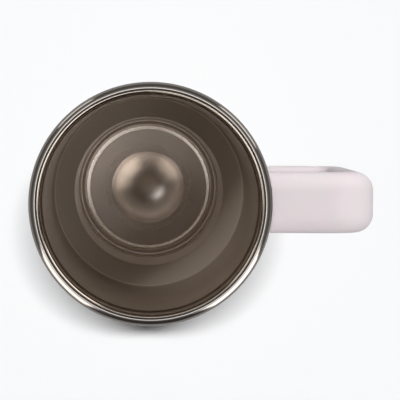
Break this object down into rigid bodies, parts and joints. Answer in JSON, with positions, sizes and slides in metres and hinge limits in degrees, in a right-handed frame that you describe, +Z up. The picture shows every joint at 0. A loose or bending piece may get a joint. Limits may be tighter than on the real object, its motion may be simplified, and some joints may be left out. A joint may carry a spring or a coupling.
{
  "type": "insulated tumbler",
  "caption": "Tall insulated tumbler with vacuum steel walls, a wide open mouth, a narrow stepped base that fits a cup holder, and a moulded handle on its side.",
  "frame": {"origin": "centre of the ring that the tumbler stands on, in the plane of the foot, on the vessel's axis", "axes": "+Z up along the vessel's axis and out of the mouth, +X towards the handle"},
  "size_m": [0.1438, 0.0994, 0.228],
  "materials": {
    "inner_steel": "electropolished satin stainless steel with a polished lip",
    "coated_steel": "satin pale powder coat on stainless steel, bare at the lip",
    "plain_steel": "satin stainless steel",
    "copper_foil": "bright copper foil",
    "getter_powder": "pressed and sintered metal powder",
    "seal_solder": "dull solder bead",
    "handle_plastic": "satin moulded plastic with a fine grain",
    "plug_plastic": "satin moulded plastic"
  },
  "bodies": {
    "root": {"inner_wall": "inner_steel", "inner_floor": "inner_steel", "heat_foil": "copper_foil", "getter_clip": "plain_steel", "getter_tablet": "getter_powder", "outer_shell": "coated_steel", "outer_bottom": "plain_steel", "vacuum_seal": "seal_solder", "base_cover": "plain_steel", "upper_bracket": "plain_steel", "lower_bracket": "plain_steel", "handle_shell": "handle_plastic", "handle_insert": "handle_plastic", "handle_screws": "plain_steel", "screw_plugs": "plug_plastic"}
  },
  "joints": []
}
